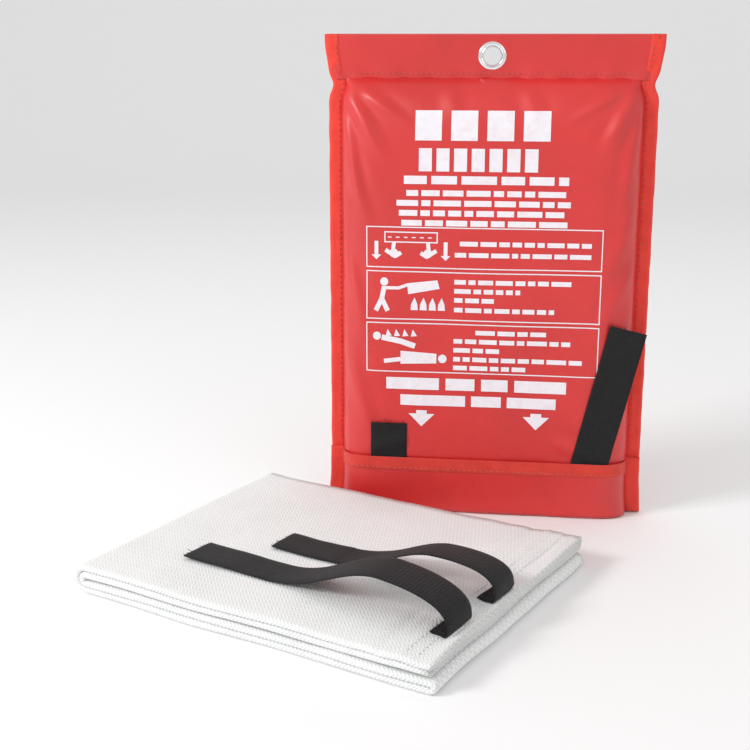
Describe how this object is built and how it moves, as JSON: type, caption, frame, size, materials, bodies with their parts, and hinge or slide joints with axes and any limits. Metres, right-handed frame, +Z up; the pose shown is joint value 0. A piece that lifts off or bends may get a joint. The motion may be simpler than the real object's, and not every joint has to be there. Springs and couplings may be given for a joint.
{
  "type": "fire blanket",
  "caption": "Soft red hanging pouch with a top eyelet, holding a folded fire blanket with two pull tapes, and a second folded white blanket beside it.",
  "frame": {"origin": "middle of the footprint of the pouch and the loose blanket, on the surface that they stand on", "axes": "+Z up, -Y out of the pouch's printed front, X along the pouch's width"},
  "size_m": [0.4158, 0.3396, 0.39],
  "materials": {
    "red_fabric": "coated woven",
    "binding": "woven tape",
    "chrome": "polished",
    "steel": "satin",
    "red_thread": "thread",
    "glass_cloth": "herringbone woven glass",
    "webbing": "ribbed webbing",
    "print": "screen print"
  },
  "bodies": {
    "pouch": {"back_panel": "red_fabric", "front_panel": "red_fabric", "header_band": "red_fabric", "left_binding": "binding", "right_binding": "binding", "eyelet": "chrome", "eyelet_washer": "steel", "header_stitching": "red_thread", "binding_stitching": "red_thread"},
    "packed": {"packed_blanket": "glass_cloth", "packed_tape_roots": "webbing"},
    "tape_left": {"packed_tape_left": "webbing"},
    "tape_right": {"packed_tape_right": "webbing"},
    "flap_under": {"flap_base": "red_fabric"},
    "flap": {"flap_front": "red_fabric", "flap_hem": "binding", "flap_left_binding": "binding", "flap_right_binding": "binding"},
    "lower_leaf": {"loose_lower_leaf": "glass_cloth"},
    "upper_leaf": {"loose_upper_leaf": "glass_cloth", "upper_leaf_hem": "glass_cloth", "front_tape_patch": "webbing", "rear_tape_patch": "webbing"},
    "front_tape": {"front_pull_tape": "webbing"},
    "rear_tape": {"rear_pull_tape": "webbing"}
  },
  "joints": [
    {"name": "pack_slide", "type": "slide", "parent": "pouch", "child": "packed", "axis": [0, 0, -1], "range_m": [0, 0.28], "deforming": ["flap_base", "flap_front", "flap_hem", "flap_left_binding", "flap_right_binding"]},
    {"name": "flap_base_hinge", "type": "hinge", "parent": "pouch", "child": "flap_under", "pos_m": [0.07539, 0.16804, 0], "axis": [1, 0, 0], "range_deg": [0, 88]},
    {"name": "flap_front_hinge", "type": "hinge", "parent": "flap_under", "child": "flap", "pos_m": [0.07539, 0.14084, 0.0004], "axis": [1, 0, 0], "range_deg": [0, 88]},
    {"name": "tape_left_hinge", "type": "hinge", "parent": "packed", "child": "tape_left", "pos_m": [-0.00261, 0.14364, 0.005], "axis": [1, 0, 0], "range_deg": [0, 30]},
    {"name": "tape_right_hinge", "type": "hinge", "parent": "packed", "child": "tape_right", "pos_m": [0.15339, 0.14364, 0.005], "axis": [1, 0, 0], "range_deg": [0, 70]},
    {"name": "loose_lift", "type": "slide", "parent": "pouch", "child": "lower_leaf", "axis": [0, 0, 1], "range_m": [0, 0.25]},
    {"name": "upper_leaf_open", "type": "hinge", "parent": "lower_leaf", "child": "upper_leaf", "pos_m": [-0.16164, 0.05925, 0.0112], "axis": [-0.4067, -0.9135, 0], "range_deg": [0, 175]},
    {"name": "front_tape_lift", "type": "hinge", "parent": "upper_leaf", "child": "front_tape", "pos_m": [0.0738, -0.12001, 0.0236], "axis": [0.454, 0.891, 0], "range_deg": [0, 60]},
    {"name": "rear_tape_lift", "type": "hinge", "parent": "upper_leaf", "child": "rear_tape", "pos_m": [0.10064, -0.06957, 0.0236], "axis": [0.4067, 0.9135, 0], "range_deg": [0, 60]}
  ],
  "couplings": [
    {"joint": "flap_base_hinge", "follows": "pack_slide", "rad_per_m": 5.4852},
    {"joint": "flap_front_hinge", "follows": "pack_slide", "rad_per_m": 5.4852}
  ]
}
